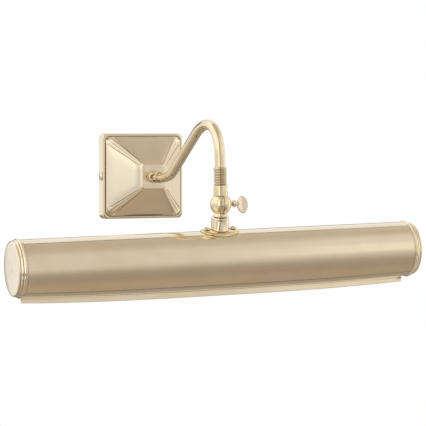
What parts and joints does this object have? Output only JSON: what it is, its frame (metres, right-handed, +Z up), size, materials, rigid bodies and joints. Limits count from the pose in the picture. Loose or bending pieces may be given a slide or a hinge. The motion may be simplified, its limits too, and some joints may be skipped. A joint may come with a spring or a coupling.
{
  "type": "picture light",
  "caption": "Wall-mounted brass picture light: square pyramid canopy, swan-neck arm, clamped ball knuckle and a long tubular shade open towards the wall.",
  "frame": {"origin": "centre of the wall bracket's back face, on the wall plane", "axes": "+X to the light's right as seen from the room, +Y into the wall, +Z up"},
  "size_m": [0.5093, 0.3096, 0.2115],
  "materials": {
    "polished_brass": "polished and lacquered",
    "pale_brass": "polished and lacquered, paler",
    "zinc_steel": "zinc plated",
    "nickel_plate": "nickel plated",
    "white_nylon": "moulded",
    "black_phenolic": "moulded, semi-gloss",
    "grey_fibre": "pressed fibre",
    "lamp_glass": "clear",
    "lead_sheath": "PVC sheath"
  },
  "bodies": {
    "base": {"wall_bracket": "zinc_steel", "backplate": "polished_brass", "side_screw_left": "polished_brass", "side_screw_right": "polished_brass", "earth_screw": "polished_brass", "terminal_block": "white_nylon", "terminal_screw_1": "polished_brass", "terminal_screw_2": "polished_brass", "terminal_screw_3": "polished_brass", "terminal_fixing_screw": "zinc_steel", "canopy_lead": "lead_sheath"},
    "arm": {"arm_root_collar": "polished_brass", "arm_washer": "zinc_steel", "arm_locknut": "zinc_steel", "arm_tube": "polished_brass", "arm_lead": "lead_sheath", "ribbed_collar": "polished_brass", "upper_knuckle": "polished_brass"},
    "thumb": {"thumb_screw": "polished_brass"},
    "shade": {"lower_knuckle": "polished_brass", "friction_washer": "grey_fibre", "lower_collar": "pale_brass", "saddle_flange": "polished_brass", "saddle_screw_left": "polished_brass", "saddle_screw_right": "polished_brass", "shade_tube": "pale_brass", "end_cap_left": "pale_brass", "end_cap_right": "pale_brass", "lampholder_bracket": "zinc_steel", "stud_nut": "zinc_steel", "lampholder_left": "black_phenolic", "lampholder_right": "black_phenolic", "lampholder_nut_left": "zinc_steel", "lampholder_nut_right": "zinc_steel", "lamp_cap_left": "nickel_plate", "lamp_cap_right": "nickel_plate", "lamp_glass_left": "lamp_glass", "lamp_glass_right": "lamp_glass", "lamp_lead_left": "lead_sheath", "lamp_lead_right": "lead_sheath"}
  },
  "joints": [
    {"name": "arm_level", "type": "hinge", "parent": "base", "child": "arm", "pos_m": [0, -0.057, 0], "axis": [0, 1, 0], "range_deg": [-3.65, 6.35]},
    {"name": "shade_tilt", "type": "hinge", "parent": "arm", "child": "shade", "pos_m": [0.00062, -0.286, -0.02629], "axis": [0.9997, 0, 0.0236], "range_deg": [-94.5, 75.5]},
    {"name": "thumb_turn", "type": "hinge", "parent": "arm", "child": "thumb", "pos_m": [0.00062, -0.286, -0.02629], "axis": [0.9997, 0, 0.0236], "range_deg": [0, 360]}
  ]
}
